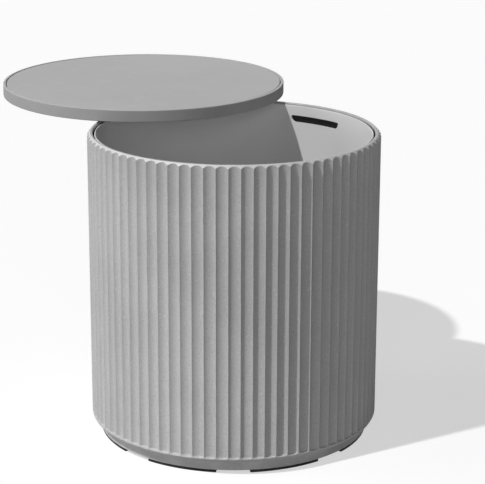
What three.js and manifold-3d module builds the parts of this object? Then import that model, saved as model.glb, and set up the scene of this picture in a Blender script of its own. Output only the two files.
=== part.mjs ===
// Ice bucket coffee table: a fluted drum on a set-back plinth, a tub that lifts out and a round lid.
// Millimetres, +Z up. The origin is the middle of the flat underside of the base panel.
// The hand slots of the tub lie on +Y and -Y. The lid lies slid off to one side, on its bumpers.

import * as THREE from 'three';
import { mergeVertices } from 'three/addons/utils/BufferGeometryUtils.js';
import Module from 'manifold-3d';

const wasm = await Module();
wasm.setup();

// Fits and facets
const seatGap = 0.3; // between a piece and what it rests on or sits in
const holeGap = 0.3; // round the shank and head of a screw or bolt
const cutOverrun = 5; // how far a cutter runs past the face it opens
const roundSteps = 64; // facets round the wide pieces
const holeSteps = 8; // facets round pads, screws, bolts and their holes
const cornerSteps = 3; // facets of a rounded corner in a profile
const slotCornerSteps = 4; // facets of a corner of a hand slot

// Drum
const drumRadius = 225; // over the plain band at the foot
const drumHeight = 472; // from the underside of the plinth to the rim
const fluteCount = 78;
const fluteDepth = 3.75;
const fluteSteps = 6; // facets across one flute
const arrisInset = 0.4; // arrises of the flutes inside the plain band
const rimChamfer = 5; // outer edge of the rim, cuts the flutes to round-ended ones
const footBandHeight = 8; // plain band below the flutes
const footEdgeChamfer = 1;
const rimWidth = 9; // from the outside of the drum to the bore
const rimBoreChamfer = 1;
const lowerWall = 19; // below the shelf, from the outside inwards
const shelfThickness = 12;
const flangeWidth = 35; // thickened foot of the drum, from the outside inwards
const flangeHeight = 20;

// Plinth and base panel
const plinthHeight = 18;
const plinthRecess = 14; // set back from the outside of the drum
const plinthWidth = 27;
const plinthWall = 14; // outside the rebate that holds the base panel
const plinthEdgeChamfer = 1;
const panelThickness = 12;
const drainHoleRadius = 5;
const drainHoleCount = 4;
const drainCircle = 120;

// Foot strips, in arcs under the plinth
const stripCount = 8;
const stripAngle = 31; // degrees
const firstGapAngle = 39; // degrees, middle of the first gap between strips
const stripThickness = 4.2;
const stripWidth = 12;
const stripInset = 1; // from the outside of the plinth
const stripSteps = 8; // facets along one strip

// Bolts that hold the plinth to the drum, one in each gap between the strips
const boltHeadRadius = 4.25;
const boltHeadHeight = 5;
const boltShankRadius = 2.5;
const boltShankLength = 26;
const boltSocketRadius = 2.2;
const boltSocketDepth = 2.8;
const boltSink = 2; // from the underside of the plinth up to the head

// Countersunk screws of the base panel and the lid
const screwHeadRadius = 4;
const screwHeadHeight = 2.4;
const screwShankRadius = 2;
const screwPointLength = 2;
const screwSocketRadius = 1.3;
const screwSocketDepth = 1.2;
const panelScrewLength = 15;
const lidScrewLength = 15;

// Tub
const tubHeight = 250;
const tubRimGap = 2.5; // between the bore of the drum and the lip
const tubWall = 2.5;
const tubTaper = 6.5; // how much smaller the radius is at the bottom
const tubCorner = 12; // outer radius of the bottom corner
const tubFloor = 3;
const tubStandWidth = 20; // flat ring that the tub stands on
const tubStandRise = 2.5; // the floor inside that ring lies this much higher
const tubLipSink = 2.5; // lip below the rim of the drum
const slotLength = 94;
const slotHeight = 11;
const slotLowerCorner = 9;
const slotUpperCorner = 2;
const slotDepth = 16; // from the lip down to the slot
const padRadius = 6;
const padThickness = 3;
const padCount = 4;

// Lid
const lidOverhang = 7.5; // past the outside of the drum when the lid is on
const lidHeight = 19;
const bandWidth = 4.5;
const bandEdgeChamfer = 1.2;
const grooveWidth = 1.5; // between the band and the inset top
const topSink = 0.3; // inset top below the band
const topEdgeChamfer = 0.8;
const ledgeWidth = 18; // inward ledge of the band, carries the board
const ledgeThickness = 4;
const boardThickness = 6;
const bumperRadius = 5;
const bumperHeight = 2.7;
const bumperRound = 1.2;
const bumperCount = 8; // the one on the drum's side hangs over the tub, its two neighbours stand on the rim
const bumperInset = 15.6; // from the edge of the lid to the middle of a bumper
const lidBearing = 158.5; // degrees, counter-clockwise from +X

// Sizes and places that follow from those above
const arrisRadius = drumRadius - arrisInset;
const boreRadius = drumRadius - rimWidth;
const plinthRadius = drumRadius - plinthRecess;
const rebateRadius = plinthRadius - plinthWall;
const plinthBoreRadius = plinthRadius - plinthWidth;
const ledgeHeight = panelThickness + seatGap;
const gapPitch = 360 / stripCount;
const boltCircle = plinthRadius - plinthWall / 2;
const panelScrewCircle = (plinthBoreRadius + rebateRadius) / 2;
const panelScrewAngle = firstGapAngle + gapPitch / 2;

const tubRadius = boreRadius - tubRimGap;
const tubBottomRadius = tubRadius - tubTaper;
const tubStandRadius = tubBottomRadius - tubCorner;
const tubStandBore = tubStandRadius - tubStandWidth;
const tubBottom = drumHeight - tubLipSink - tubHeight;
const padCircle = (tubStandRadius + tubStandBore) / 2;
const shelfTop = tubBottom - seatGap - padThickness - seatGap;

const lidRadius = drumRadius + lidOverhang;
const bandBoreRadius = lidRadius - bandWidth;
const ledgeBoreRadius = bandBoreRadius - ledgeWidth;
const boardBottom = ledgeThickness + seatGap;
const topBottom = boardBottom + boardThickness + seatGap;
const lidBottom = drumHeight + seatGap + bumperHeight + seatGap;
const lidScrewCircle = (bandBoreRadius + ledgeBoreRadius) / 2;
const lidScrewAngle = lidBearing + 180 / bumperCount; // in the middle between two bumpers
const bumperCircle = lidRadius - bumperInset;
const lidOffset = 2 * bumperCircle * Math.cos((2 * Math.PI) / bumperCount); // slid off

// Materials
const concrete = { color: 0xb4b4b3, roughness: 0.85, metalness: 0 };
const paleConcrete = { color: 0xb9b9b8, roughness: 0.8, metalness: 0 };
const tubPlastic = { color: 0xc6c6c4, roughness: 0.5, metalness: 0 };
const blackRubber = { color: 0x151515, roughness: 0.9, metalness: 0 };
const greyBoard = { color: 0x8c8c8a, roughness: 0.8, metalness: 0 };
const zincSteel = { color: 0xa8abad, roughness: 0.4, metalness: 1 };

// A closed geometry as a solid, welded, with its faces turned outwards
function solidFrom(geometry) {
  const bare = geometry.clone();
  bare.deleteAttribute('normal');
  bare.deleteAttribute('uv');
  const welded = mergeVertices(bare);
  const vertProperties = new Float32Array(welded.attributes.position.array);
  const index = welded.index.array;
  const corner = (i) => new THREE.Vector3().fromArray(vertProperties, i * 3);
  const kept = [];
  let volume = 0;
  for (let i = 0; i < index.length; i += 3) {
    const [a, b, c] = [index[i], index[i + 1], index[i + 2]];
    if (a === b || b === c || c === a) {
      continue;
    }
    kept.push([a, b, c]);
    volume += corner(a).dot(corner(b).cross(corner(c)));
  }
  const turned = volume < 0 ? kept.map(([a, b, c]) => [a, c, b]) : kept;
  const triVerts = new Uint32Array(turned.flat());
  return new wasm.Manifold(new wasm.Mesh({ numProp: 3, vertProperties, triVerts }));
}

// A solid as a geometry with flat shading
function geometryFrom(solid) {
  const mesh = solid.getMesh();
  const geometry = new THREE.BufferGeometry();
  geometry.setAttribute('position', new THREE.BufferAttribute(mesh.vertProperties, 3));
  geometry.setIndex(new THREE.BufferAttribute(mesh.triVerts, 1));
  geometry.computeVertexNormals();
  return geometry;
}

// Points [radius, height] turned about Z. They start and end on the axis, or the ring is closed here.
function revolve(points, steps = roundSteps) {
  const onAxis = points[0][0] === 0;
  const loop = onAxis ? points : [...points, points[0]];
  const outline = loop.map(([radius, height]) => new THREE.Vector2(radius, height));
  const geometry = new THREE.LatheGeometry(outline, steps);
  geometry.rotateX(Math.PI / 2);
  return solidFrom(geometry);
}

// A flat outline drawn out along Z from bottom to top. Each arc gets two facets for one curve segment.
function drawOut(shape, bottom, top, arcSteps = 2) {
  const settings = { depth: top - bottom, bevelEnabled: false, curveSegments: arcSteps / 2 };
  const geometry = new THREE.ExtrudeGeometry(shape, settings);
  geometry.translate(0, 0, bottom);
  return solidFrom(geometry);
}

// Points of a round corner in a profile, from one angle to the other in degrees
function cornerPoints(radiusAt, heightAt, size, from, to) {
  const points = [];
  for (let step = 0; step <= cornerSteps; step += 1) {
    const angle = THREE.MathUtils.degToRad(from + ((to - from) * step) / cornerSteps);
    points.push([radiusAt + size * Math.cos(angle), heightAt + size * Math.sin(angle)]);
  }
  return points;
}

// The place at a radius and bearing
function polar(radius, degrees, height = 0) {
  const angle = THREE.MathUtils.degToRad(degrees);
  return [radius * Math.cos(angle), radius * Math.sin(angle), height];
}

// Cuts copies of one cutter, spread evenly round the axis
function cutRound(solid, cutter, count, radius, firstAngle, height) {
  let result = solid;
  for (let i = 0; i < count; i += 1) {
    result = result.subtract(cutter.translate(polar(radius, firstAngle + (i * 360) / count, height)));
  }
  return result;
}

function addPiece(parent, name, solid, finish, place = [0, 0, 0]) {
  const mesh = new THREE.Mesh(geometryFrom(solid), new THREE.MeshStandardMaterial(finish));
  mesh.name = name;
  mesh.position.set(...place);
  parent.add(mesh);
}

// Adds numbered copies of one piece, spread evenly round the axis
function addRound(parent, name, solid, finish, count, radius, firstAngle, height) {
  for (let i = 0; i < count; i += 1) {
    const place = polar(radius, firstAngle + (i * 360) / count, height);
    addPiece(parent, `${name}_${i + 1}`, solid, finish, place);
  }
}

// Outline of the drum: shallow concave arcs that meet in sharp arrises
function fluteOutline() {
  const halfPitch = Math.PI / fluteCount;
  const halfChord = arrisRadius * Math.sin(halfPitch);
  const sagitta = arrisRadius * Math.cos(halfPitch) - (arrisRadius - fluteDepth);
  const fluteRadius = (halfChord ** 2 + sagitta ** 2) / (2 * sagitta);
  const centreDistance = arrisRadius - fluteDepth + fluteRadius;
  const spread = Math.asin(halfChord / fluteRadius);
  const points = [];
  for (let flute = 0; flute < fluteCount; flute += 1) {
    const bearing = (2 * flute + 1) * halfPitch;
    for (let step = 0; step < fluteSteps; step += 1) {
      const angle = bearing + Math.PI + spread - (2 * spread * step) / fluteSteps;
      const x = centreDistance * Math.cos(bearing) + fluteRadius * Math.cos(angle);
      const y = centreDistance * Math.sin(bearing) + fluteRadius * Math.sin(angle);
      points.push(new THREE.Vector2(x, y));
    }
  }
  return new THREE.Shape(points);
}

// Fluted shell: the fluted bar is trimmed by a chamfered round envelope, stands in a plain band and is
// bored from both ends. The top of the band slopes inwards and ends the flutes.
function drumShell() {
  const bottom = plinthHeight;
  const top = drumHeight;
  const bar = drawOut(fluteOutline(), bottom + footBandHeight / 2, top + cutOverrun);
  const edgeRadius = drumRadius - rimChamfer;
  const reach = rimChamfer + cutOverrun;
  const envelope = revolve(
    [
      [0, bottom],
      [edgeRadius + reach, bottom],
      [edgeRadius + reach, top - reach],
      [edgeRadius, top],
      [0, top],
    ],
    fluteCount,
  );
  const bandTop = bottom + footBandHeight;
  const slope = arrisInset + fluteDepth + 1;
  const footBand = revolve(
    [
      [0, bottom],
      [drumRadius - footEdgeChamfer, bottom],
      [drumRadius, bottom + footEdgeChamfer],
      [drumRadius, bandTop],
      [drumRadius - slope, bandTop + slope],
      [0, bandTop + slope],
    ],
    fluteCount,
  );
  const flangeBore = drumRadius - flangeWidth;
  const lowerBore = drumRadius - lowerWall;
  const flangeTop = bottom + flangeHeight;
  const shelfBottom = shelfTop - shelfThickness;
  const rimReach = rimBoreChamfer + cutOverrun;
  const hollow = revolve([
    [0, bottom - cutOverrun],
    [flangeBore, bottom - cutOverrun],
    [flangeBore, flangeTop],
    [lowerBore, flangeTop + (lowerBore - flangeBore)],
    [lowerBore, shelfBottom - (lowerBore - tubStandBore)],
    [tubStandBore, shelfBottom],
    [tubStandBore, shelfTop],
    [boreRadius, shelfTop],
    [boreRadius, top - rimBoreChamfer],
    [boreRadius + rimReach, top - rimBoreChamfer + rimReach],
    [0, top - rimBoreChamfer + rimReach],
  ]);
  return cutRound(
    bar.intersect(envelope).add(footBand).subtract(hollow),
    boltHole(),
    stripCount,
    boltCircle,
    firstGapAngle,
    0,
  );
}

// Bolt with a socket head, head down, shank up, from the face of its head
function baseBolt() {
  return revolve(
    [
      [0, boltSocketDepth],
      [boltSocketRadius, boltSocketDepth],
      [boltSocketRadius, 0],
      [boltHeadRadius, 0],
      [boltHeadRadius, boltHeadHeight],
      [boltShankRadius, boltHeadHeight],
      [boltShankRadius, boltHeadHeight + boltShankLength],
      [0, boltHeadHeight + boltShankLength],
    ],
    holeSteps,
  );
}

// Counterbored hole for that bolt, measured from the underside of the plinth
function boltHole() {
  const seat = boltSink + boltHeadHeight + seatGap;
  const end = boltSink + boltHeadHeight + boltShankLength + seatGap;
  return revolve(
    [
      [0, -cutOverrun],
      [boltHeadRadius + holeGap, -cutOverrun],
      [boltHeadRadius + holeGap, seat],
      [boltShankRadius + holeGap, seat],
      [boltShankRadius + holeGap, end],
      [0, end],
    ],
    holeSteps,
  );
}

// Countersunk screw, head down, point up, from the face of its head
function flatScrew(length) {
  return revolve(
    [
      [0, screwSocketDepth],
      [screwSocketRadius, screwSocketDepth],
      [screwSocketRadius, 0],
      [screwHeadRadius, 0],
      [screwShankRadius, screwHeadHeight],
      [screwShankRadius, length - screwPointLength],
      [0, length],
    ],
    holeSteps,
  );
}

// Countersunk hole for that screw, whose head lies one seat gap inside the face
function screwHole(length) {
  return revolve(
    [
      [0, -cutOverrun],
      [screwHeadRadius + holeGap, -cutOverrun],
      [screwHeadRadius + holeGap, seatGap],
      [screwShankRadius + holeGap, seatGap + screwHeadHeight],
      [screwShankRadius + holeGap, seatGap + length + seatGap],
      [0, seatGap + length + seatGap],
    ],
    holeSteps,
  );
}

// Plain ring under the drum, rebated from below for the base panel
function plinthRing() {
  const top = plinthHeight - seatGap;
  const ring = revolve([
    [rebateRadius, 0],
    [plinthRadius - plinthEdgeChamfer, 0],
    [plinthRadius, plinthEdgeChamfer],
    [plinthRadius, top],
    [plinthBoreRadius, top],
    [plinthBoreRadius, ledgeHeight],
    [rebateRadius, ledgeHeight],
  ]);
  const bolted = cutRound(ring, boltHole(), stripCount, boltCircle, firstGapAngle, 0);
  return cutRound(bolted, screwHole(panelScrewLength), stripCount, panelScrewCircle, panelScrewAngle, 0);
}

// Round panel that closes the drum from below, with drain holes and screw holes
function basePanel() {
  const radius = rebateRadius - seatGap;
  const disc = revolve([
    [0, 0],
    [radius, 0],
    [radius, panelThickness],
    [0, panelThickness],
  ]);
  const drain = revolve(
    [
      [0, -cutOverrun],
      [drainHoleRadius, -cutOverrun],
      [drainHoleRadius, panelThickness + cutOverrun],
      [0, panelThickness + cutOverrun],
    ],
    holeSteps,
  );
  const drained = cutRound(disc, drain, drainHoleCount, drainCircle, firstGapAngle, 0);
  return cutRound(drained, screwHole(panelScrewLength), stripCount, panelScrewCircle, panelScrewAngle, 0);
}

// One arc of rubber under the plinth, centred on a bearing
function footStrip(bearing) {
  const outer = plinthRadius - stripInset;
  const inner = outer - stripWidth;
  const from = THREE.MathUtils.degToRad(bearing - stripAngle / 2);
  const to = THREE.MathUtils.degToRad(bearing + stripAngle / 2);
  const shape = new THREE.Shape();
  shape.absarc(0, 0, outer, from, to, false);
  shape.absarc(0, 0, inner, to, from, true);
  shape.closePath();
  return drawOut(shape, -seatGap - stripThickness, -seatGap, stripSteps);
}

// Round rubber pad between the shelf and the tub
function roundPad() {
  return revolve(
    [
      [0, 0],
      [padRadius, 0],
      [padRadius, padThickness],
      [0, padThickness],
    ],
    holeSteps,
  );
}

// Tub: tapered wall with a round lip, rounded corner, raised floor inside a standing ring, two hand slots
function tub() {
  const lipRadius = tubWall / 2;
  const floorCorner = tubCorner - tubWall;
  const shell = revolve([
    [0, tubStandRise],
    [tubStandBore - tubStandRise, tubStandRise],
    [tubStandBore, 0],
    ...cornerPoints(tubStandRadius, tubCorner, tubCorner, -90, 0),
    ...cornerPoints(tubRadius - lipRadius, tubHeight - lipRadius, lipRadius, 0, 180),
    ...cornerPoints(tubStandRadius, tubFloor + floorCorner, floorCorner, 0, -90),
    [tubStandBore, tubFloor],
    [tubStandBore - tubStandRise, tubFloor + tubStandRise],
    [0, tubFloor + tubStandRise],
  ]);
  const halfLength = slotLength / 2;
  const halfHeight = slotHeight / 2;
  const slot = new THREE.Shape();
  const upperEnd = halfLength - slotUpperCorner;
  const upperHeight = halfHeight - slotUpperCorner;
  const lowerEnd = halfLength - slotLowerCorner;
  const lowerHeight = slotLowerCorner - halfHeight;
  slot.absarc(upperEnd, upperHeight, slotUpperCorner, 0, Math.PI / 2, false);
  slot.absarc(-upperEnd, upperHeight, slotUpperCorner, Math.PI / 2, Math.PI, false);
  slot.absarc(-lowerEnd, lowerHeight, slotLowerCorner, Math.PI, -Math.PI / 2, false);
  slot.absarc(lowerEnd, lowerHeight, slotLowerCorner, -Math.PI / 2, 0, false);
  slot.closePath();
  const reach = tubRadius + cutOverrun;
  const slotCutter = drawOut(slot, -reach, reach, slotCornerSteps);
  const slotMiddle = tubHeight - slotDepth - halfHeight;
  return shell.subtract(slotCutter.rotate([90, 0, 0]).translate([0, 0, slotMiddle]));
}

// Edge band of the lid, with the ledge that carries the board
function lidBand() {
  const ring = revolve([
    [ledgeBoreRadius, 0],
    [lidRadius - bandEdgeChamfer, 0],
    [lidRadius, bandEdgeChamfer],
    [lidRadius, lidHeight - bandEdgeChamfer],
    [lidRadius - bandEdgeChamfer, lidHeight],
    [bandBoreRadius, lidHeight],
    [bandBoreRadius, ledgeThickness],
    [ledgeBoreRadius, ledgeThickness],
  ]);
  return cutRound(ring, screwHole(lidScrewLength), bumperCount, lidScrewCircle, lidScrewAngle, 0);
}

// Backing board, on the ledge
function lidBoard() {
  const radius = bandBoreRadius - seatGap;
  const disc = revolve([
    [0, boardBottom],
    [radius, boardBottom],
    [radius, boardBottom + boardThickness],
    [0, boardBottom + boardThickness],
  ]);
  return cutRound(disc, screwHole(lidScrewLength), bumperCount, lidScrewCircle, lidScrewAngle, 0);
}

// Inset top, on the board, parted from the band by the groove
function lidTop() {
  const radius = bandBoreRadius - grooveWidth;
  const top = lidHeight - topSink;
  const disc = revolve([
    [0, topBottom],
    [radius, topBottom],
    [radius, top - topEdgeChamfer],
    [radius - topEdgeChamfer, top],
    [0, top],
  ]);
  return cutRound(disc, screwHole(lidScrewLength), bumperCount, lidScrewCircle, lidScrewAngle, 0);
}

// Rubber bumper under the band, rounded where it meets the rim
function lidBumper() {
  return revolve(
    [
      [0, 0],
      [bumperRadius - bumperRound, 0],
      [bumperRadius, bumperRound],
      [bumperRadius, bumperHeight],
      [0, bumperHeight],
    ],
    holeSteps,
  );
}

const table = new THREE.Group();

const drum = new THREE.Group();
addPiece(drum, 'drum_shell', drumShell(), concrete);
addPiece(drum, 'plinth_ring', plinthRing(), concrete);
addPiece(drum, 'base_panel', basePanel(), greyBoard);
for (let i = 0; i < stripCount; i += 1) {
  const bearing = firstGapAngle + gapPitch / 2 + i * gapPitch;
  addPiece(drum, `foot_strip_${i + 1}`, footStrip(bearing), blackRubber);
}
const panelScrew = flatScrew(panelScrewLength);
addRound(drum, 'base_bolt', baseBolt(), zincSteel, stripCount, boltCircle, firstGapAngle, boltSink);
addRound(drum, 'panel_screw', panelScrew, zincSteel, stripCount, panelScrewCircle, panelScrewAngle, seatGap);
const padBottom = shelfTop + seatGap;
const padBody = roundPad();
addRound(drum, 'liner_pad', padBody, blackRubber, padCount, padCircle, firstGapAngle, padBottom);
table.add(drum);

const liner = new THREE.Group();
liner.position.z = tubBottom;
addPiece(liner, 'liner', tub(), tubPlastic);
table.add(liner);

const lid = new THREE.Group();
lid.position.set(...polar(lidOffset, lidBearing, lidBottom));
addPiece(lid, 'lid_band', lidBand(), paleConcrete);
addPiece(lid, 'lid_board', lidBoard(), greyBoard);
addPiece(lid, 'lid_top', lidTop(), paleConcrete);
const lidScrew = flatScrew(lidScrewLength);
const bumperBottom = -seatGap - bumperHeight;
addRound(lid, 'lid_screw', lidScrew, zincSteel, bumperCount, lidScrewCircle, lidScrewAngle, seatGap);
addRound(lid, 'lid_bumper', lidBumper(), blackRubber, bumperCount, bumperCircle, lidBearing, bumperBottom);
table.add(lid);

export default table;
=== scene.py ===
# Ice bucket coffee table: fluted concrete drum on a set-back plinth, a tub that lifts out and a loose lid.
# Metres, +Z up. The drum's axis is the Z axis and the underside of its base panel lies at zero.
# The pieces' dictionaries are in millimetres and degrees, and those of finishes, floor and camera in metres.
import math

import bmesh
import bpy
import numpy as np
from mathutils import Matrix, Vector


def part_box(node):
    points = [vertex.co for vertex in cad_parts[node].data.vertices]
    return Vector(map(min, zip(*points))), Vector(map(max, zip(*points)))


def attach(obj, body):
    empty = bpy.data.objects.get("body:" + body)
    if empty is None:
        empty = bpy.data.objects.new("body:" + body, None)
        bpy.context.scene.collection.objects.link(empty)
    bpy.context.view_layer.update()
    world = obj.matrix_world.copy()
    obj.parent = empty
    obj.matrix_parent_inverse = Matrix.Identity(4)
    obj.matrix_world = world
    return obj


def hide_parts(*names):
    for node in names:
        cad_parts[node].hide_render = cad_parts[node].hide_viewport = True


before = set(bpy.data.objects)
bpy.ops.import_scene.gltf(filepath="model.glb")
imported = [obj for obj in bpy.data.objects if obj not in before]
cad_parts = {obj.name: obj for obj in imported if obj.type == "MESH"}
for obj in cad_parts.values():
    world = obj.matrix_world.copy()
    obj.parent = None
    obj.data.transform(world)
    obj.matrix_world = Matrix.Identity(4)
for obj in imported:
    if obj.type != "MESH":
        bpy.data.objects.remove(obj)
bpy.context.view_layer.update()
mm = 0.001
tau = 2 * math.pi
guardReach = 1.3  # where a rounded corner's guard points lie, as a multiple of the rounding
roundness = dict(ring=288, lid=384, small=40, fastener=48, hole=32)  # columns round each kind of piece


# Mesh helpers

# Grid of points, rows by columns, closed round its columns, with doubled points merged at the poles.
def meshPiece(name, points, closeRows=False, sharpFrom=35):
    rows, columns = points.shape[:2]
    row = np.arange(rows if closeRows else rows - 1)[:, None]
    column = np.arange(columns)[None, :]
    nextRow, nextColumn = (row + 1) % rows, (column + 1) % columns
    low, high = row * columns, nextRow * columns
    corners = [low + column, low + nextColumn, high + nextColumn, high + column]
    faces = np.stack([np.broadcast_to(c, (len(row), columns)) for c in corners], -1).reshape(-1, 4)
    mesh = bpy.data.meshes.new(name)
    mesh.from_pydata((points.reshape(-1, 3) * mm).tolist(), [], faces.tolist())
    cleaned = bmesh.new()
    cleaned.from_mesh(mesh)
    bmesh.ops.remove_doubles(cleaned, verts=cleaned.verts, dist=1e-7)
    bmesh.ops.recalc_face_normals(cleaned, faces=cleaned.faces)
    cleaned.to_mesh(mesh)
    cleaned.free()
    smoothMesh(mesh, sharpFrom)
    piece = bpy.data.objects.new(name, mesh)
    bpy.context.scene.collection.objects.link(piece)
    return piece


def smoothMesh(mesh, sharpFrom=35):
    mesh.polygons.foreach_set("use_smooth", np.ones(len(mesh.polygons), bool))
    mesh.set_sharp_from_angle(angle=math.radians(sharpFrom))


# Rounds the corners of an open profile. corners is count by 2 (radius, height), or count by columns by 2.
# Each corner becomes a short parabola between two points on its sides, with a guard point just outside each.
# Along it the share of one side falls as the square of the way left, and the other's grows as the square of
# the way gone.
def softened(corners, sizes, steps=3):
    corners = np.asarray(corners, float)
    out = [corners[0]]
    for before, corner, after, size in zip(corners[:-2], corners[1:-1], corners[2:], sizes):
        if size == 0:
            out.append(corner)
            continue
        back, ahead = before - corner, after - corner
        back /= np.linalg.norm(back, axis=-1, keepdims=True)
        ahead /= np.linalg.norm(ahead, axis=-1, keepdims=True)
        out.append(corner + back * size * guardReach)
        for t in np.linspace(0, 1, steps + 1):
            out.append(corner + back * size * (1 - t) ** 2 + ahead * size * t ** 2)
        out.append(corner + ahead * size * guardReach)
    out.append(corners[-1])
    return np.array(out)


# Profile carried round an upright axis: x is the radius times the cosine of the angle, y the radius times its
# sine, and z the height.
def turned(profile, columns, centre=(0, 0, 0)):
    profile = np.asarray(profile, float)
    if profile.ndim == 2:
        profile = np.repeat(profile[:, None, :], columns, axis=1)
    angle = np.arange(columns) * tau / columns
    radius, height = profile[..., 0], profile[..., 1]
    return np.stack([radius * np.cos(angle), radius * np.sin(angle), height], -1) + np.asarray(centre, float)


# Solid of revolution whose profile starts and ends on the axis.
def turnedPiece(name, corners, sizes, columns, centre=(0, 0, 0), steps=3):
    profile = softened(np.asarray(corners, float), sizes, steps)
    return meshPiece(name, turned(profile, columns, centre))


# Round block with one rounding for its lower edge and one for its upper edge.
def blockPiece(name, radius, low, high, sizes, columns, centre=(0, 0, 0), steps=3):
    corners = [(0, low), (radius, low), (radius, high), (0, high)]
    return turnedPiece(name, corners, sizes, columns, centre, steps)


# Ring: its profile is a closed loop, opened in the middle of its first side.
def ringPiece(name, corners, sizes, columns, centre=(0, 0, 0), steps=3):
    corners = np.asarray(corners, float)
    middle = (corners[-1] + corners[0]) / 2
    profile = softened(np.vstack([middle, corners, middle]), sizes, steps)[:-1]
    return meshPiece(name, turned(profile, columns, centre), closeRows=True)


# Turned piece from rows of (radius, height). A radius is one number, or one number for each column.
def rowsPiece(name, rows, columns, centre):
    ones = np.ones(columns)
    profile = np.array([np.stack([radius * ones, height * ones], -1) for radius, height in rows])
    return meshPiece(name, turned(profile, columns, centre))


# Takes the cutters out of the piece and removes them.
def drilled(piece, cutters):
    for cutter in cutters:
        cut = piece.modifiers.new("cut", "BOOLEAN")
        cut.operation = "DIFFERENCE"
        cut.solver = "EXACT"
        cut.object = cutter
    evaluated = piece.evaluated_get(bpy.context.evaluated_depsgraph_get())
    mesh = bpy.data.meshes.new_from_object(evaluated)
    piece.modifiers.clear()
    mesh.name = piece.name
    piece.data = mesh
    smoothMesh(mesh)
    for cutter in cutters:
        bpy.data.objects.remove(cutter)
    return piece


# Places spread evenly round an upright axis, by the circle, count and first angle in the piece's sizes.
def around(d, centre=(0.0, 0.0), height=0.0):
    angles = math.radians(d["first"]) + np.arange(d["count"]) * tau / d["count"]
    x = d["circle"] * np.cos(angles) + centre[0]
    y = d["circle"] * np.sin(angles) + centre[1]
    return np.stack([x, y, np.full(d["count"], height)], -1)


# Gives the piece its material, its body and the CAD node that it stands for.
def settle(piece, body, material, node):
    piece.data.materials.clear()
    piece.data.materials.append(material)
    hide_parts(node)
    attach(piece, body)
    return piece


# Makes and settles one numbered piece at each place, for the node with the same number.
def settleEach(make, sizes, name, node, places, body, material):
    for number, place in enumerate(places, 1):
        settle(make(f"{name}{number}", sizes, place), body, material, f"{node}_{number}")


# Material helpers

def newMaterial(name):
    material = bpy.data.materials.new(name)
    material.use_nodes = True
    tree = material.node_tree
    return material, tree, tree.nodes["Principled BSDF"]


# A node with its settings, and with values or links on its inputs.
def addNode(tree, kind, values=None, **settings):
    made = tree.nodes.new(kind)
    for key, value in settings.items():
        setattr(made, key, value)
    for key, value in (values or {}).items():
        if isinstance(value, bpy.types.NodeSocket):
            tree.links.new(value, made.inputs[key])
        else:
            made.inputs[key].default_value = value
    return made


def placeOn(tree):
    return addNode(tree, "ShaderNodeTexCoord").outputs["Object"]


# Noise by its scale, detail and roughness. A scale of three numbers draws it out along each axis, and turn
# turns it round the Z axis.
def noiseOf(tree, place, scale, detail, roughness, turn=0.0):
    if isinstance(scale, tuple):
        values = {"Vector": place, "Scale": scale, "Rotation": (0.0, 0.0, turn)}
        place, scale = addNode(tree, "ShaderNodeMapping", values).outputs[0], 1.0
    values = {"Vector": place, "Scale": scale, "Detail": detail, "Roughness": roughness}
    return addNode(tree, "ShaderNodeTexNoise", values).outputs["Fac"]


# Carries a value from one range (low, high) to another, and keeps it inside.
def rangeOf(tree, value, given, wanted=(0.0, 1.0), soft=True):
    values = {"Value": value, "From Min": given[0], "From Max": given[1]}
    values.update({"To Min": wanted[0], "To Max": wanted[1]})
    kind = "SMOOTHSTEP" if soft else "LINEAR"
    return addNode(tree, "ShaderNodeMapRange", values, interpolation_type=kind).outputs["Result"]


def mathOf(tree, operation, a, b=0.0):
    return addNode(tree, "ShaderNodeMath", {0: a, 1: b}, operation=operation).outputs[0]


def vectorOf(tree, operation, a, b=(0.0, 0.0, 0.0)):
    return addNode(tree, "ShaderNodeVectorMath", {0: a, 1: b}, operation=operation).outputs


def mixOf(tree, share, a, b):
    return addNode(tree, "ShaderNodeMix", {0: share, 6: a, 7: b}, data_type="RGBA").outputs[2]


# A colour or a grey, written as the screen shows it, from 0 to 1, as linear light.
def shade(value):
    values = [value] * 3 if isinstance(value, (int, float)) else value
    linear = [v / 12.92 if v <= 0.04045 else ((v + 0.055) / 1.055) ** 2.4 for v in values]
    return (*linear, 1.0)


# Joins a finish's colour, roughness and relief to its shader.
def dress(tree, shader, look, tone, rough, relief):
    tree.links.new(tone, shader.inputs["Base Color"])
    tree.links.new(rough, shader.inputs["Roughness"])
    values = {"Strength": look["bump"], "Distance": look["bumpDepth"], "Height": relief}
    tree.links.new(addNode(tree, "ShaderNodeBump", values).outputs[0], shader.inputs["Normal"])


# 1 for what the camera sees, also in a mirror or through glass, and 0 for light on its way to a surface.
def seenOf(tree):
    rays = addNode(tree, "ShaderNodeLightPath").outputs
    mirrored = mathOf(tree, "MAXIMUM", rays["Is Glossy Ray"], rays["Is Transmission Ray"])
    return mathOf(tree, "MAXIMUM", rays["Is Camera Ray"], mirrored)


# Concrete of the drum, the plinth and the lid. Each noise is its scale, detail and roughness, and each range
# is the part of it that counts.

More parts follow.
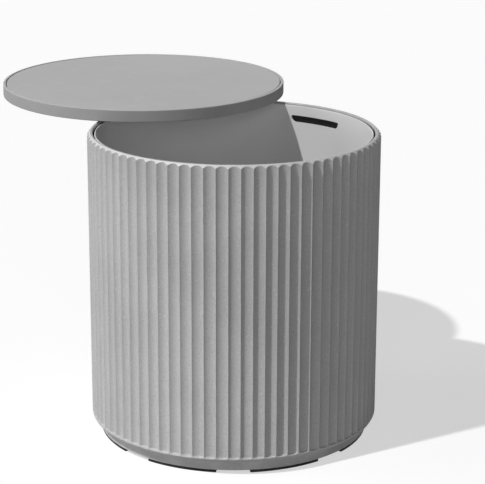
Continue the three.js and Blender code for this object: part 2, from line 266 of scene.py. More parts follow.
drumConcrete = dict(
    base=0.700, dark=0.659, light=0.735,
    cloud=(5.5, 5.0, 0.62), cloudRange=(0.36, 0.66),
    streak=((38.0, 38.0, 2.2), 3.0, 0.55), streakRange=(0.52, 0.78), streakShare=0.5,
    sand=(330.0, 3.0, 0.7), fine=(1023.0, 2.0, 0.6), grain=0.85,
    sandDark=0.615, darkRange=(0.30, 0.46), sandLight=0.777, lightRange=(0.56, 0.72),
    pore=0.50, poreScale=85.0, poreShare=0.075, poreFrom=0.78, poreSoftness=0.02,
    # paler edge tone: wear on the drum's arrises, and painted light over the plinth's outer face
    edge=0.775, edgeShare=(0.15, 0.75), patch=(24.0, 3.0, 0.55), patchRange=(0.35, 0.62),
    roughness=(0.45, 0.55), roughRange=(0.3, 0.7), specular=0.5,
    bump=0.22, bumpDepth=0.0006, sandRelief=0.7, fineRelief=0.3, poreRelief=1.2,
)
lidConcrete = dict(
    drumConcrete,
    base=0.741, dark=0.722, light=0.760,
    sand=(520.0, 3.0, 0.7), fine=(1612.0, 2.0, 0.6), grain=0.2, sandDark=0.722, sandLight=0.760,
    poreShare=0.05,
    # darker edge tone: painted shade over the lid's side band
    edge=0.615, edgeShare=(0.92, 1.0),
    roughness=(0.73, 0.83), specular=0.3,
    bump=0.12,
)
# Outermost lines that take the edge tone: worn arrises on the drum, painted light over the plinth's outer
# face, and painted shade over the lid's side band.
edgeWearAndPaintedLight = dict(drum=(0.2247, 0.0006), plinth=(0.211, 0.0002), lid=(0.2324, 0.0008))  # radius and blur
# Painted shade: near black over the drum's bore and all inside it below the rim, so that the hand slots and
# the gap at the tub's lip look into deep shade.
paintedBoreShade = dict(tone=0.06, radius=0.2171, top=0.468, sideBlur=0.0002, topBlur=0.0004)
# Painted highlight: the rim's chamfer made paler where a sheen falls on it.
paintedChamferHighlight = dict(tone=0.79, reach=0.6912, blur=0.0006)


# Cast concrete: slow cloudy tone, upright streaks, sand grain, sparse pores, and another tone along the
# outermost line of the piece, which is wear where it is paler on the drum's arrises, painted light on the
# plinth's outer face and painted shade on the lid's side band. A painted shade, if there is one, is a near
# black on all that lies inside its radius and below its top. A chamfer, if there is one, gets a painted
# highlight: it is paler where radius plus height pass its reach.
def concreteMaterial(name, look, edgeLine, centre=(0.0, 0.0), paintedShade=None, chamfer=None):
    material, tree, shader = newMaterial(name)
    place = placeOn(tree)
    cloud = noiseOf(tree, place, *look["cloud"])
    streak = noiseOf(tree, place, *look["streak"])
    sand = noiseOf(tree, place, *look["sand"])
    fine = noiseOf(tree, place, *look["fine"])

    # a cell has a pore where its random number is high, and a higher one makes the pore wider
    cellValues = {"Vector": place, "Scale": look["poreScale"], "Randomness": 1.0}
    cells = addNode(tree, "ShaderNodeTexVoronoi", cellValues).outputs
    pick = addNode(tree, "ShaderNodeSeparateColor", {"Color": cells["Color"]}).outputs[0]
    reach = rangeOf(tree, pick, (look["poreFrom"], 1.0), (0.0, look["poreShare"]), soft=False)
    depth = mathOf(tree, "SUBTRACT", reach, cells["Distance"])
    pore = rangeOf(tree, depth, (0.0, look["poreSoftness"]))

    tone = mixOf(tree, rangeOf(tree, cloud, look["cloudRange"]), shade(look["dark"]), shade(look["base"]))
    streaky = rangeOf(tree, streak, look["streakRange"], (0.0, look["streakShare"]))
    tone = mixOf(tree, streaky, tone, shade(look["light"]))
    darkSand = rangeOf(tree, sand, look["darkRange"], (look["grain"], 0.0))
    tone = mixOf(tree, darkSand, tone, shade(look["sandDark"]))
    lightSand = rangeOf(tree, sand, look["lightRange"], (0.0, look["grain"]))
    tone = mixOf(tree, lightSand, tone, shade(look["sandLight"]))

    fromAxis = vectorOf(tree, "SUBTRACT", place, (centre[0], centre[1], 0.0))[0]
    radius = vectorOf(tree, "LENGTH", vectorOf(tree, "MULTIPLY", fromAxis, (1.0, 1.0, 0.0))[0])["Value"]
    height = addNode(tree, "ShaderNodeSeparateXYZ", {"Vector": place}).outputs["Z"]
    edge = rangeOf(tree, radius, (edgeLine[0] - edgeLine[1], edgeLine[0]))
    patchy = rangeOf(tree, noiseOf(tree, place, *look["patch"]), look["patchRange"], look["edgeShare"])
    tone = mixOf(tree, mathOf(tree, "MULTIPLY", edge, patchy), tone, shade(look["edge"]))
    # painted highlight on the chamfer
    if chamfer:
        reached = mathOf(tree, "ADD", radius, height)
        highlighted = rangeOf(tree, reached, (chamfer["reach"], chamfer["reach"] + chamfer["blur"]))
        tone = mixOf(tree, highlighted, tone, shade(chamfer["tone"]))
    tone = mixOf(tree, pore, tone, shade(look["pore"]))
    # painted shade inside the bore
    if paintedShade:
        side, above = paintedShade["sideBlur"], paintedShade["topBlur"]
        inside = rangeOf(tree, radius, (paintedShade["radius"] - side, paintedShade["radius"] + side), (1.0, 0.0))
        below = rangeOf(tree, height, (paintedShade["top"] - above, paintedShade["top"] + above), (1.0, 0.0))
        tone = mixOf(tree, mathOf(tree, "MULTIPLY", inside, below), tone, shade(paintedShade["tone"]))

    rough = rangeOf(tree, cloud, look["roughRange"], look["roughness"], soft=False)
    relief = mathOf(tree, "MULTIPLY", sand, look["sandRelief"])
    relief = mathOf(tree, "ADD", relief, mathOf(tree, "MULTIPLY", fine, look["fineRelief"]))
    relief = mathOf(tree, "SUBTRACT", relief, mathOf(tree, "MULTIPLY", pore, look["poreRelief"]))
    shader.inputs["Specular IOR Level"].default_value = look["specular"]
    dress(tree, shader, look, tone, rough, relief)
    return material


# Plastic, rubber, board and steel

tubPlastic = dict(
    base=0.82, dark=0.80, cloud=(4.0, 3.0, 0.55), cloudRange=(0.35, 0.65),
    rubs=((90.0, 90.0, 5.0), 4.0, 0.7), rubRange=(0.55, 0.75), rubRoughness=0.10,
    roughness=(0.38, 0.46), roughRange=(0.3, 0.7), specular=0.4,
    grain=(900.0, 2.0, 0.6), bump=0.05, bumpDepth=0.0003,
)


# Moulded plastic with a fine spark-eroded grain and faint upright rub marks.
def plasticMaterial(name, look):
    material, tree, shader = newMaterial(name)
    place = placeOn(tree)
    cloud = noiseOf(tree, place, *look["cloud"])
    rubs = noiseOf(tree, place, *look["rubs"])
    tone = mixOf(tree, rangeOf(tree, cloud, look["cloudRange"]), shade(look["dark"]), shade(look["base"]))
    rough = rangeOf(tree, cloud, look["roughRange"], look["roughness"])
    rough = mathOf(tree, "ADD", rangeOf(tree, rubs, look["rubRange"], (0.0, look["rubRoughness"])), rough)
    shader.inputs["Specular IOR Level"].default_value = look["specular"]
    dress(tree, shader, look, tone, rough, noiseOf(tree, place, *look["grain"]))
    return material


blackRubber = dict(
    base=(0.075, 0.075, 0.076), dusty=(0.16, 0.16, 0.157),
    dust=(45.0, 5.0, 0.65), dustRange=(0.5, 0.75), dustShare=0.6,
    roughness=(0.76, 0.93), roughRange=(0.4, 0.7), specular=0.35,
    grain=(1400.0, 2.0, 0.55), bump=0.15, bumpDepth=0.0002,
)


# Black rubber, a little dusty in patches.
def rubberMaterial(name, look):
    material, tree, shader = newMaterial(name)
    place = placeOn(tree)
    dust = noiseOf(tree, place, *look["dust"])
    dusty = rangeOf(tree, dust, look["dustRange"], (0.0, look["dustShare"]))
    tone = mixOf(tree, dusty, shade(look["base"]), shade(look["dusty"]))
    rough = rangeOf(tree, dust, look["roughRange"], look["roughness"])
    shader.inputs["Specular IOR Level"].default_value = look["specular"]
    dress(tree, shader, look, tone, rough, noiseOf(tree, place, *look["grain"]))
    return material


fibreBoard = dict(
    base=(0.55, 0.55, 0.545), dark=(0.50, 0.50, 0.494), cloud=(9.0, 4.0, 0.55), cloudRange=(0.35, 0.65),
    fibre=(0.60, 0.60, 0.592), fibres=((60.0, 700.0, 700.0), 3.0, 0.6),
    fibreTurn=0.3, fibreRange=(0.56, 0.70), fibreShare=0.7,
    roughness=(0.88, 0.76), roughRange=(0.3, 0.7), bump=0.2, bumpDepth=0.0003,
)


# Grey fibre cement board: short pale fibres lying one way, over a cloudy tone.
def boardMaterial(name, look):
    material, tree, shader = newMaterial(name)
    place = placeOn(tree)
    fibres = noiseOf(tree, place, *look["fibres"], turn=look["fibreTurn"])
    cloud = noiseOf(tree, place, *look["cloud"])
    tone = mixOf(tree, rangeOf(tree, cloud, look["cloudRange"]), shade(look["dark"]), shade(look["base"]))
    fibrous = rangeOf(tree, fibres, look["fibreRange"], (0.0, look["fibreShare"]))
    tone = mixOf(tree, fibrous, tone, shade(look["fibre"]))
    rough = rangeOf(tree, fibres, look["roughRange"], look["roughness"])
    dress(tree, shader, look, tone, rough, fibres)
    return material


zincSteel = dict(
    base=(0.68, 0.69, 0.70), dull=(0.54, 0.55, 0.56), spangle=(320.0, 4.0, 0.6), dullRange=(0.4, 0.65),
    roughness=(0.50, 0.36), roughRange=(0.35, 0.7), bump=0.1, bumpDepth=0.0001,
)


# Zinc plated steel with small dull patches.
def steelMaterial(name, look):
    material, tree, shader = newMaterial(name)
    spangle = noiseOf(tree, placeOn(tree), *look["spangle"])
    tone = mixOf(tree, rangeOf(tree, spangle, look["dullRange"]), shade(look["dull"]), shade(look["base"]))
    rough = rangeOf(tree, spangle, look["roughRange"], look["roughness"])
    shader.inputs["Metallic"].default_value = 1.0
    dress(tree, shader, look, tone, rough, spangle)
    return material


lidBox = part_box("lid_top")
lidCentre = ((lidBox[0].x + lidBox[1].x) / 2, (lidBox[0].y + lidBox[1].y) / 2)
# The drum gets a painted shade inside its bore and a painted highlight on its rim's chamfer.
rim = dict(paintedShade=paintedBoreShade, chamfer=paintedChamferHighlight)
drumFinish = concreteMaterial("drumConcrete", drumConcrete, edgeWearAndPaintedLight["drum"], **rim)
plinthFinish = concreteMaterial("plinthConcrete", drumConcrete, edgeWearAndPaintedLight["plinth"])
lidFinish = concreteMaterial("lidConcrete", lidConcrete, edgeWearAndPaintedLight["lid"], lidCentre)
tubFinish = plasticMaterial("tubPlastic", tubPlastic)
rubberFinish = rubberMaterial("blackRubber", blackRubber)
boardFinish = boardMaterial("fibreBoard", fibreBoard)
steelFinish = steelMaterial("zincSteel", zincSteel)
print("materials ready")


# Drum shell

drumSizes = dict(
    radius=225.0, bottom=18.0, top=472.0,
    flutes=78, fluteDepth=3.75, firstArris=-2.15, arrisSoftness=0.3,
    rimChamfer=5.0, archSoftness=0.45, rimSoftness=0.6,
    footLean=2.2, footSoftness=0.8, leanStop=0.6, leanSoftness=0.15,
    fluteEnd=22.8, endHeight=4.2, endRise=0.6, endGuard=0.3,
    boreRadius=216.0, boreChamfer=1.0, boreSoftness=0.35,
    shelfTop=215.9, shelfBore=175.0, shelfThickness=12.0, shelfSoftness=0.5,
    lowerBore=206.0, flangeBore=190.0, flangeHeight=20.0, sharpFrom=32,
    # shares of a flute's width to its middle, closer near the arris, and of the way up a flute's lower end
    columns=np.array([0.0, 0.012, 0.035, 0.07, 0.12, 0.18, 0.25, 0.33, 0.41, 0.5]),
    endSteps=(0.0, 0.03, 0.08, 0.16, 0.28, 0.44, 0.64, 1.0),
)


# Round arc whose near side is the flute: through both arrises and the flute's deepest point. Gives its
# centre's distance from the axis, and its radius: half the chord squared plus the rise squared, over twice
# the rise.
def fluteArc(d):
    half = math.pi / d["flutes"]
    deepest = d["radius"] - d["fluteDepth"]
    chord = d["radius"] * math.sin(half)
    rise = d["radius"] * math.cos(half) - deepest
    arc = (chord ** 2 + rise ** 2) / (2 * rise)
    return deepest + arc, arc


# Rounds arrises and the ends of the flutes: the depth below the drum's radius becomes the root of its square
# plus the softness squared.
def worn(d, radius):
    return d["radius"] - np.sqrt((d["radius"] - radius) ** 2 + d["arrisSoftness"] ** 2)


# Fluted outside over a plain band that leans in towards the plinth. With a as the angle from a flute's
# middle, the wall's radius is the arc centre's distance times cos a, less the root of the arc's radius
# squared less the squared product of that distance and sin a. The flute's lower end is cut as by a ball
# squeezed in height: the arc's squared radius is there multiplied by one less the square of the depth below
# the end's top, as a share of the end's height. The flute leaves the band where that share is the root of one
# less the squared distance from the arc's centre to the drum's radius at a, over the arc's squared radius.
def drumShell(d):
    radius, bottom, top = d["radius"], d["bottom"], d["top"]
    half = math.pi / d["flutes"]
    share = np.concatenate([d["columns"], 1 - d["columns"][-2:0:-1]])
    local = np.tile((2 * share - 1) * half, d["flutes"])
    angle = math.radians(d["firstArris"]) + 2 * half * (np.arange(d["flutes"])[:, None] + share).ravel()
    centre, arc = fluteArc(d)

    def fluteAt(squeeze):
        reach = np.maximum(arc ** 2 * (1 - squeeze ** 2) - (centre * np.sin(local)) ** 2, 0)
        return worn(d, np.minimum(centre * np.cos(local) - np.sqrt(reach), radius))

    flute, band, rim = fluteAt(0.0), radius - d["arrisSoftness"], radius - d["rimChamfer"]
    away = (radius ** 2 + centre ** 2 - 2 * radius * centre * np.cos(local)) / arc ** 2
    lowest = np.sqrt(np.clip(1 - away, 0, 1))
    endTop = d["fluteEnd"] + d["endHeight"] * lowest.max()

    def endRow(step):
        squeeze = lowest * (1 - step)
        return fluteAt(squeeze), endTop - d["endHeight"] * squeeze + d["endRise"] * step, 0

    under = (d["flangeBore"] + rim) / 2
    bore, shelfBore, lowerBore, flangeBore = d["boreRadius"], d["shelfBore"], d["lowerBore"], d["flangeBore"]
    shelfTop, shelfBottom = d["shelfTop"], d["shelfTop"] - d["shelfThickness"]
    flangeTop = bottom + d["flangeHeight"]

    # radius, height and rounding, from the middle of the underside out, up, in over the rim and down inside
    outline = [
        (under, bottom, 0),
        (band - d["footLean"], bottom, d["footSoftness"]),
        (band, d["fluteEnd"] - d["leanStop"], d["leanSoftness"]),
        (band, endTop - d["endHeight"] * lowest - d["endGuard"], 0),
    ]
    outline += [endRow(step) for step in d["endSteps"]]
    outline += [
        (flute, top - (flute - rim), d["archSoftness"]),
        (rim, top, d["rimSoftness"]),
        (bore + d["boreChamfer"], top, d["boreSoftness"]),
        (bore, top - d["boreChamfer"], d["boreSoftness"]),
        (bore, shelfTop, 0),
        (shelfBore, shelfTop, d["shelfSoftness"]),
        (shelfBore, shelfBottom, 0),
        (lowerBore, shelfBottom - (lowerBore - shelfBore), 0),
        (lowerBore, flangeTop + (lowerBore - flangeBore), 0),
        (flangeBore, flangeTop, 0),
        (flangeBore, bottom, 0),
        (under, bottom, 0),
    ]
    ones = np.ones(len(local))
    corners = np.array([np.stack([across * ones, height * ones], -1) for across, height, soft in outline])
    profile = softened(corners, [soft for across, height, soft in outline][1:-1], steps=2)[:-1]
    across, height = profile[..., 0], profile[..., 1]
    points = np.stack([across * np.cos(angle), across * np.sin(angle), height], -1)
    return meshPiece("drumShell", points, closeRows=True, sharpFrom=d["sharpFrom"])


shell = settle(drumShell(drumSizes), "drum", drumFinish, "drum_shell")
print("drum shell", len(shell.data.polygons))


# Plinth, base panel and their fasteners

plinthSizes = dict(
    radius=211.0, wall=14.0, width=27.0, top=17.7, ledge=12.3,
    footSoftness=0.8, topSoftness=0.4, ledgeSoftness=0.3, rebateSoftness=0.5,
)
panelSizes = dict(radius=196.7, thickness=12.0, softness=0.6)
drainSizes = dict(radius=5.0, length=20.0, circle=120.0, count=4, first=39.0)
boltSizes = dict(
    head=4.25, headHeight=5.0, headRound=0.5, shank=2.5, shankLength=26.0, tip=0.5, tipLength=0.6,
    headCurve=(0.3, 0.24), flats=2.0, socketDepth=2.8, floorEase=0.1, mouthEase=0.15,
    floorShare=0.96, mouthShare=1.06, sink=2.0, gap=0.3,
    circle=204.0, count=8, first=39.0,
)
panelScrewSizes = dict(
    head=4.0, headHeight=2.4, headRound=0.25, headEdge=0.18, shank=2.0, length=15.0, point=2.0,
    socket=1.25, socketDepth=1.2, lobe=0.16, socketEase=0.1, floorShare=0.9, mouthShare=1.05,
    sink=0.3, gap=0.3,
    circle=190.5, count=8, first=61.5,
)
cutterBelow = -5.0  # where every cutter starts, under its piece


# Cutter for a countersunk screw's hole.
def countersink(d, centre):
    head, shank, sink, low = d["head"] + d["gap"], d["shank"] + d["gap"], d["sink"], cutterBelow
    coneTop, end = sink + d["headHeight"], sink + d["length"] + d["gap"]
    corners = [(0, low), (head, low), (head, sink), (shank, coneTop), (shank, end), (0, end)]
    return turnedPiece("cutter", corners, [0] * 4, roundness["hole"], centre)


# Cutter for a socket bolt's hole.
def counterbore(d, centre):
    head, shank, low = d["head"] + d["gap"], d["shank"] + d["gap"], cutterBelow
    seat = d["sink"] + d["headHeight"] + d["gap"]
    end = seat + d["shankLength"]
    corners = [(0, low), (head, low), (head, seat), (shank, seat), (shank, end), (0, end)]
    return turnedPiece("cutter", corners, [0] * 4, roundness["hole"], centre)


# Head down. The socket's wall is a hexagon: its radius is the distance to a flat, over the cosine of the
# angle from the nearest flat's middle.
def socketBolt(name, d, centre):
    columns = roundness["fastener"]
    angle = np.arange(columns) * tau / columns
    hexagon = d["flats"] / np.cos((angle + math.pi / 6) % (math.pi / 3) - math.pi / 6)
    head, shank, depth, soft = d["head"], d["shank"], d["socketDepth"], d["headRound"]
    end = d["headHeight"] + d["shankLength"]
    across, up = d["headCurve"]
    rows = [
        (0, depth), (hexagon * d["floorShare"], depth), (hexagon, depth - d["floorEase"]),
        (hexagon, d["mouthEase"]), (hexagon * d["mouthShare"], 0),
        (head - soft, 0), (head - across * soft, up * soft), (head, soft), (head, d["headHeight"]),
        (shank, d["headHeight"]), (shank, end - d["tipLength"]), (shank - d["tip"], end), (0, end),
    ]
    return rowsPiece(name, rows, columns, centre)


# Countersunk, head down. The socket has six lobes: its radius swells and shrinks by a share that follows the
# cosine of six times the angle.
def flatScrew(name, d, centre):
    columns = roundness["fastener"]
    angle = np.arange(columns) * tau / columns
    lobes = d["socket"] * (1 + d["lobe"] * np.cos(6 * angle))
    head, shank, depth, ease = d["head"], d["shank"], d["socketDepth"], d["socketEase"]
    rows = [
        (0, depth), (lobes * d["floorShare"], depth), (lobes, depth - ease),
        (lobes, ease), (lobes * d["mouthShare"], 0),
        (head - d["headRound"], 0), (head, d["headEdge"]), (shank, d["headHeight"]),
        (shank, d["length"] - d["point"]), (0, d["length"]),
    ]
    return rowsPiece(name, rows, columns, centre)


def plinthRing(d):
    outer, rebate, bore, top = d["radius"], d["radius"] - d["wall"], d["radius"] - d["width"], d["top"]
    corners = [(outer, 0), (outer, top), (bore, top), (bore, d["ledge"]), (rebate, d["ledge"]), (rebate, 0)]
    sizes = [d["footSoftness"], d["topSoftness"], 0, d["ledgeSoftness"], 0, d["rebateSoftness"]]
    return ringPiece("plinthRing", corners, sizes, roundness["ring"])


def basePanel(d):
    return blockPiece("basePanel", d["radius"], 0, d["thickness"], [d["softness"]] * 2, roundness["ring"])


def drainHole(d, place):
    return blockPiece("cutter", d["radius"], cutterBelow, d["length"], [0, 0], roundness["small"], place)


holes = [counterbore(boltSizes, place) for place in around(boltSizes)]
holes += [countersink(panelScrewSizes, place) for place in around(panelScrewSizes)]
settle(drilled(plinthRing(plinthSizes), holes), "drum", plinthFinish, "plinth_ring")
holes = [drainHole(drainSizes, place) for place in around(drainSizes)]
holes += [countersink(panelScrewSizes, place) for place in around(panelScrewSizes)]
settle(drilled(basePanel(panelSizes), holes), "drum", boardFinish, "base_panel")

places = around(boltSizes, height=boltSizes["sink"])
settleEach(socketBolt, boltSizes, "baseBolt", "base_bolt", places, "drum", steelFinish)
places = around(panelScrewSizes, height=panelScrewSizes["sink"])
settleEach(flatScrew, panelScrewSizes, "panelScrew", "panel_screw", places, "drum", steelFinish)
print("plinth, panel and fasteners")


# Foot strips and pads

stripSizes = dict(
    outer=210.0, width=12.0, bottom=-4.5, top=-0.3, softness=0.7, angle=31.0, count=8, firstMiddle=61.5,
    columns=42, endColumns=5,
)
padSizes = dict(radius=6.0, bottom=216.2, thickness=3.0, softness=0.6, circle=185.0, count=4, first=39.0)


# Rounded bar carried along an arc. At its ends the section shrinks towards its middle as a quarter ellipse:
# by one less the sine of the turn, while it draws back by one less the cosine.
def footStrip(name, d, middle):
    outer, inner, soft = d["outer"], d["outer"] - d["width"], d["softness"]
    bottom, top = d["bottom"], d["top"]
    corners = np.array([(outer, bottom), (outer, top), (inner, top), (inner, bottom)])
    start = (corners[-1] + corners[0]) / 2
    loop = softened(np.vstack([start, corners, start]), [soft] * 4)[:-1]
    centre = np.array([outer - d["width"] / 2, (bottom + top) / 2])
    turn = np.linspace(0, math.pi / 2, d["endColumns"])
    half, endAngle = math.radians(d["angle"] / 2), soft / outer
    lead = -half + endAngle * (1 - np.cos(turn))
    shrink = 1 - (1 - np.sin(turn)) * soft / ((top - bottom) / 2)
    body = np.linspace(-half + endAngle, half - endAngle, d["columns"])[1:-1]
    angle = (np.concatenate([[-half], lead, body, -lead[::-1], [half]]) + math.radians(middle))[:, None]
    scale = np.concatenate([[0.0], shrink, np.ones(len(body)), shrink[::-1], [0.0]])
    section = centre + (loop[None, :, :] - centre) * scale[:, None, None]
    across, height = section[..., 0], section[..., 1]
    return meshPiece(name, np.stack([across * np.cos(angle), across * np.sin(angle), height], -1))


def linerPad(name, d, place):
    return blockPiece(name, d["radius"], 0, d["thickness"], [d["softness"]] * 2, roundness["small"], place)


middles = stripSizes["firstMiddle"] + np.arange(stripSizes["count"]) * 360.0 / stripSizes["count"]
settleEach(footStrip, stripSizes, "footStrip", "foot_strip", middles, "drum", rubberFinish)
places = around(padSizes, height=padSizes["bottom"])
settleEach(linerPad, padSizes, "linerPad", "liner_pad", places, "drum", rubberFinish)
print("strips and pads")


# Tub

tubSizes = dict(
    bottom=219.5, height=250.0, radius=213.5, bottomRadius=207.0, wall=2.5, corner=12.0, floor=3.0,
    standWidth=20.0, standRise=2.5, standEase=1.0, standBite=(0.3, 0.4),
    slotLength=94.0, slotHeight=11.0, slotUpper=2.0, slotLower=9.0, slotDepth=16.0, slotSoftness=0.5,
    cutFrom=150.0, cutTo=230.0, cornerSteps=10, lipSteps=12, sideSteps=7, slotSteps=8,
)


# Part of a circle in the profile's plane, between two angles.
def roundedPath(centreRadius, centreHeight, size, start, end, steps):
    angles = np.radians(np.linspace(start, end, steps + 1))
    return np.stack([centreRadius + size * np.cos(angles), centreHeight + size * np.sin(angles)], -1)


# Wall from the floor's middle underneath, out over the standing ring and up to the round lip, and back down
# inside. Along the tapered sides the points divide a straight line evenly.
def tub(d):
    stand = d["bottomRadius"] - d["corner"]
    standBore = stand - d["standWidth"]
    lip, inner = d["wall"] / 2, d["corner"] - d["wall"]
    rise, floor, ease = d["standRise"], d["floor"], d["standEase"]
    biteAcross, biteUp = d["standBite"]
    stepIn = standBore - rise
    sides = np.linspace(0, 1, d["sideSteps"] + 1)[1:-1, None]
    outerLow = np.array([d["bottomRadius"], d["corner"]])
    outerHigh = np.array([d["radius"], d["height"] - lip])
    innerLow, innerHigh = outerLow - [d["wall"], 0], outerHigh - [d["wall"], 0]
    profile = np.vstack([
        [[0, rise], [stepIn - ease, rise], [stepIn, rise - ease / 2]],
        [[standBore - ease / 2, biteAcross], [standBore + ease / 2, 0]],
        roundedPath(stand, d["corner"], d["corner"], -90, 0, d["cornerSteps"]),
        outerLow + (outerHigh - outerLow) * sides,
        roundedPath(d["radius"] - lip, d["height"] - lip, lip, 0, 180, d["lipSteps"]),
        innerHigh + (innerLow - innerHigh) * sides,
        roundedPath(stand, floor + inner, inner, 0, -90, d["cornerSteps"]),
        [[standBore + ease, floor], [standBore - biteAcross, floor + biteUp]],
        [[stepIn + biteAcross, floor + rise - biteUp], [stepIn - ease, floor + rise]],
        [[standBore / 2, floor + rise], [0, floor + rise]],
    ])
    return meshPiece("tub", turned(profile, roundness["ring"], (0, 0, d["bottom"])))


# Bar through one wall: a rectangle in X and Z with rounded corners, larger below, drawn out along Y.
def slotCutter(d, side):
    count = d["slotSteps"] + 1
    quarter = np.radians(np.linspace(0, 90, count))
    turn = np.concatenate([quarter + k * math.pi / 2 for k in range(4)])
    signX, signZ = np.repeat([1, -1, -1, 1], count), np.repeat([1, 1, -1, -1], count)
    corner = np.where(signZ > 0, d["slotUpper"], d["slotLower"])
    x = signX * (d["slotLength"] / 2 - corner) + corner * np.cos(turn)
    z = signZ * (d["slotHeight"] / 2 - corner) + corner * np.sin(turn)
    middle = d["bottom"] + d["height"] - d["slotDepth"] - d["slotHeight"] / 2
    rows = []
    for y, scale in ((d["cutFrom"], 0.0), (d["cutFrom"], 1.0), (d["cutTo"], 1.0), (d["cutTo"], 0.0)):
        rows.append(np.stack([x * scale, np.full_like(x, side * y), middle + z * scale], -1))
    return meshPiece("cutter", np.array(rows))


liner = drilled(tub(tubSizes), [slotCutter(tubSizes, 1), slotCutter(tubSizes, -1)])
soft = liner.modifiers.new("softEdges", "BEVEL")
soft.limit_method = "ANGLE"
soft.angle_limit = math.radians(60)
soft.width = tubSizes["slotSoftness"] * mm
soft.segments = 3
settle(liner, "liner", tubFinish, "liner")
print("tub", len(liner.data.polygons))


# Lid

lidSizes = dict(
    radius=232.5, bottom=475.3, height=19.0, band=4.5, groove=1.5, topSink=0.3,
    ledge=18.0, ledgeThickness=4.0, board=6.0, gap=0.3,
    outerSoftness=1.5, innerSoftness=0.35, ledgeSoftness=0.5, boardSoftness=0.5,
    backSoftness=0.3, topSoftness=0.8, edgeSteps=4,
)
lidScrewSizes = dict(panelScrewSizes, circle=219.0, count=8, first=181.0)
bumperSizes = dict(radius=5.0, height=2.7, round=1.4, topSoftness=0.2, circle=216.9, count=8, first=158.5)
lidPlace = (lidCentre[0] / mm, lidCentre[1] / mm, lidSizes["bottom"])


# Outer wall of the lid, with the ledge that carries the board.
def lidBand(d):
    outer, inner, ledge = d["radius"], d["radius"] - d["band"], d["radius"] - d["band"] - d["ledge"]
    high, thick = d["height"], d["ledgeThickness"]
    corners = [(outer, 0), (outer, high), (inner, high), (inner, thick), (ledge, thick), (ledge, 0)]
    sizes = [d["outerSoftness"], d["outerSoftness"], d["innerSoftness"], 0, 0, d["ledgeSoftness"]]
    return ringPiece("lidBand", corners, sizes, roundness["lid"], lidPlace, d["edgeSteps"])


def lidBoard(d):
    low, edge = d["ledgeThickness"] + d["gap"], d["radius"] - d["band"] - d["gap"]
    sizes = [d["boardSoftness"]] * 2
    return blockPiece("lidBoard", edge, low, low + d["board"], sizes, roundness["ring"], lidPlace)


def lidTop(d):
    low, high = d["ledgeThickness"] + d["board"] + 2 * d["gap"], d["height"] - d["topSink"]
    edge, sizes = d["radius"] - d["band"] - d["groove"], [d["backSoftness"], d["topSoftness"]]
    return blockPiece("lidTop", edge, low, high, sizes, roundness["lid"], lidPlace, d["edgeSteps"])


def lidHoles():
    return [countersink(lidScrewSizes, place) for place in around(lidScrewSizes, lidPlace, lidPlace[2])]


def lidBumper(name, d, place):
    sizes = [d["round"], d["topSoftness"]]
    return blockPiece(name, d["radius"], 0, d["height"], sizes, roundness["small"], place)


settle(drilled(lidBand(lidSizes), lidHoles()), "lid", lidFinish, "lid_band")
settle(drilled(lidBoard(lidSizes), lidHoles()), "lid", boardFinish, "lid_board")
settle(drilled(lidTop(lidSizes), lidHoles()), "lid", lidFinish, "lid_top")
places = around(lidScrewSizes, lidPlace, lidPlace[2] + lidScrewSizes["sink"])
settleEach(flatScrew, lidScrewSizes, "lidScrew", "lid_screw", places, "lid", steelFinish)
places = around(bumperSizes, lidPlace, lidPlace[2] - lidSizes["gap"] - bumperSizes["height"])
settleEach(lidBumper, bumperSizes, "lidBumper", "lid_bumper", places, "lid", rubberFinish)
print("lid")


# Floor, background, lamps and camera

floorLook = dict(height=-0.0045, size=14.0, glow=0.592, lit=0.48, bounce=0.30)
backgroundLevel = 0.97


def greyColour(level):
    return (level, level, level, 1.0)


# Pale floor. What the camera sees is lifted by a plain glow, so that it is nearly white and still takes the
# shadow.
def floorMaterial(look):
    material, tree, shader = newMaterial("paleFloor")
    tree.nodes.remove(shader)
    seen = seenOf(tree)
    glow = addNode(tree, "ShaderNodeEmission", {"Color": greyColour(1.0), "Strength": look["glow"]})
    lit = addNode(tree, "ShaderNodeBsdfDiffuse", {"Color": greyColour(look["lit"])})
    bounce = addNode(tree, "ShaderNodeBsdfDiffuse", {"Color": greyColour(look["bounce"])})
    shown = addNode(tree, "ShaderNodeAddShader", {0: glow.outputs[0], 1: lit.outputs[0]})
    mixed = addNode(tree, "ShaderNodeMixShader", {0: seen, 1: bounce.outputs[0], 2: shown.outputs[0]})
    tree.links.new(mixed.outputs[0], tree.nodes["Material Output"].inputs["Surface"])
    return material


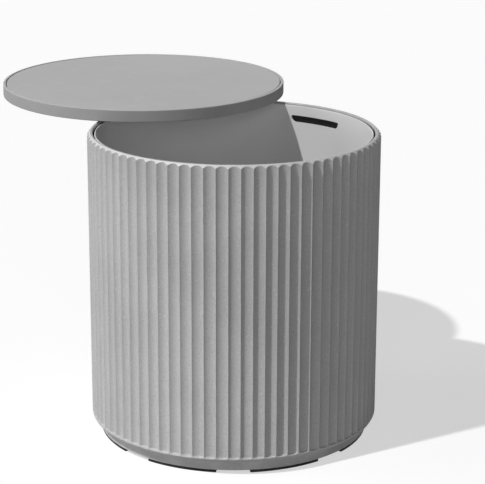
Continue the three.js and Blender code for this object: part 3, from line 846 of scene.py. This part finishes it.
reach = floorLook["size"] / 2
floorSigns = ((-1, -1), (1, -1), (1, 1), (-1, 1))
floorCorners = [(x * reach, y * reach, floorLook["height"]) for x, y in floorSigns]
floorMesh = bpy.data.meshes.new("floor")
floorMesh.from_pydata(floorCorners, [], [(0, 1, 2, 3)])
floorMesh.materials.append(floorMaterial(floorLook))
floor = bpy.data.objects.new("floor", floorMesh)
bpy.context.scene.collection.objects.link(floor)

world = bpy.data.worlds.new("studio")
world.use_nodes = True
bpy.context.scene.world = world
background = world.node_tree.nodes["Background"]
background.inputs["Color"].default_value = greyColour(1.0)
level = mathOf(world.node_tree, "MULTIPLY", seenOf(world.node_tree), backgroundLevel)
world.node_tree.links.new(level, background.inputs["Strength"])

# each lamp's bearing is where its light comes from, in degrees from +X, and its height above the horizon
lamps = {
    "keyLamp": dict(bearing=-110.0, elevation=52.5, strength=2.69, softness=1.6),
    "sideLamp": dict(bearing=-141.0, elevation=12.0, strength=0.83, softness=35.0),
    "frontLamp": dict(bearing=-51.0, elevation=12.0, strength=0.66, softness=35.0),
}
for name, d in lamps.items():
    light = bpy.data.lights.new(name, "SUN")
    light.energy = d["strength"]
    light.angle = math.radians(d["softness"])
    lamp = bpy.data.objects.new(name, light)
    lamp.rotation_euler = (math.radians(90 - d["elevation"]), 0.0, math.radians(90 + d["bearing"]))
    bpy.context.scene.collection.objects.link(lamp)

cameraSizes = dict(
    place=(1.75076, -2.14971, 1.11749), heading=38.884, tilt=16.558, roll=0.165,
    lens=137.84, sensor=36.0, clipEnd=60.0,  # lens and sensor in millimetres
)
cameraData = bpy.data.cameras.new("photoCamera")
cameraData.lens = cameraSizes["lens"]
cameraData.sensor_width = cameraSizes["sensor"]
cameraData.clip_end = cameraSizes["clipEnd"]
camera = bpy.data.objects.new("photoCamera", cameraData)
aim = Matrix.Rotation(math.radians(cameraSizes["heading"]), 4, "Z")
aim = aim @ Matrix.Rotation(math.radians(90 - cameraSizes["tilt"]), 4, "X")
aim = aim @ Matrix.Rotation(math.radians(cameraSizes["roll"]), 4, "Z")
camera.matrix_world = Matrix.Translation(cameraSizes["place"]) @ aim
bpy.context.scene.collection.objects.link(camera)
bpy.context.scene.camera = camera
bpy.context.scene.view_settings.view_transform = "Standard"
print("stage, lamps and camera")
